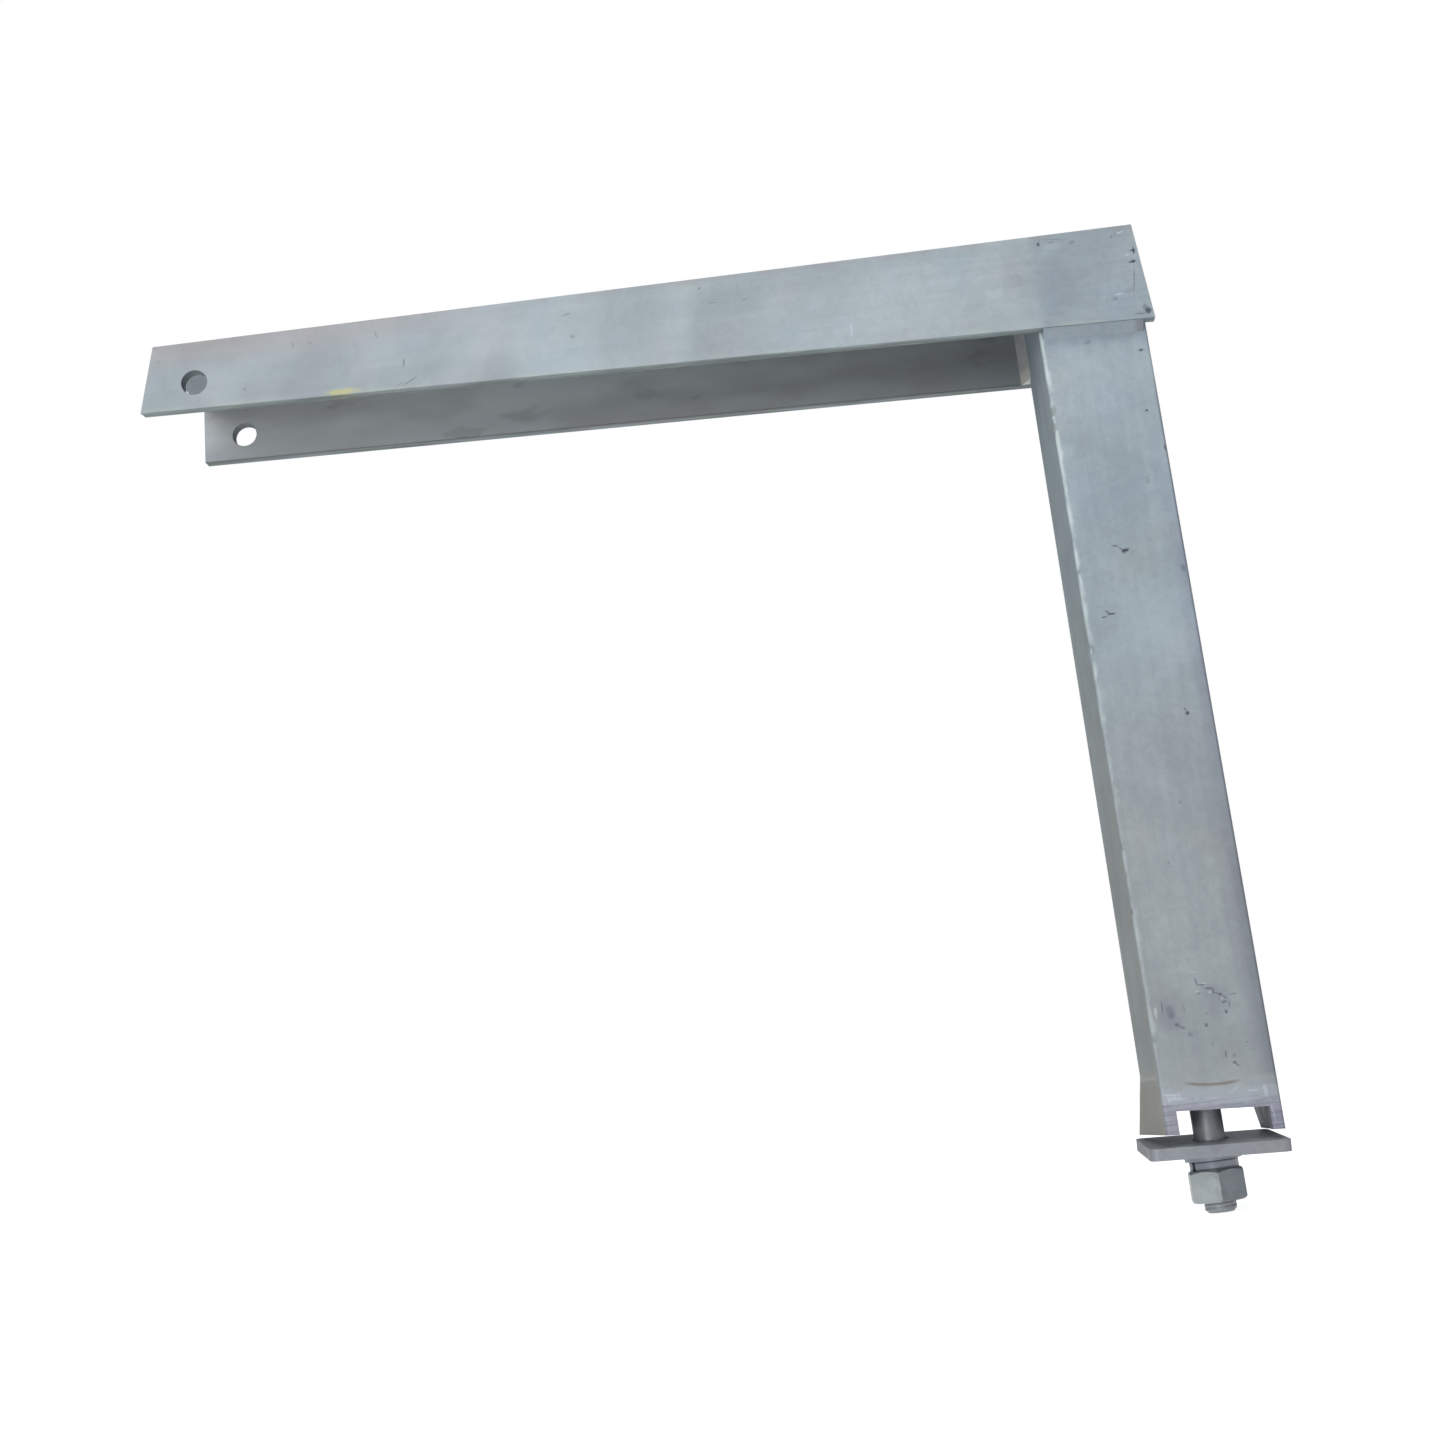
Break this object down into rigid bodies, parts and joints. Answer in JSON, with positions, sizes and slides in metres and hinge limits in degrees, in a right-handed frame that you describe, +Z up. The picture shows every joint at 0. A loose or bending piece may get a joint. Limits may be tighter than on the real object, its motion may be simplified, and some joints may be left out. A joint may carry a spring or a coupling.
{
  "type": "l-shaped pole bracket",
  "caption": "L-shaped bracket of two welded galvanised channels, with pin holes at the arm's tip and a clamp bolt with a loose square washer at the foot.",
  "frame": {"origin": "middle of the bore through the two tip holes", "axes": "+X along the arm from its tip to the corner, +Y away from the near flange, along the tip bore, +Z up, against the way the post hangs"},
  "size_m": [0.557, 0.0766, 0.5318],
  "materials": {
    "zinc_channel": "dull hot-dip zinc",
    "zinc_weld": "zinc over a weld bead",
    "zinc_fastener": "dull hot-dip zinc"
  },
  "bodies": {
    "root": {"arm_channel": "zinc_channel", "post_channel": "zinc_channel", "seat_plate": "zinc_channel", "front_weld": "zinc_weld", "side_weld": "zinc_weld", "clamp_bolt": "zinc_fastener", "clamp_nut": "zinc_fastener", "flat_washer": "zinc_fastener", "spring_washer": "zinc_fastener", "square_washer": "zinc_fastener"}
  },
  "joints": []
}
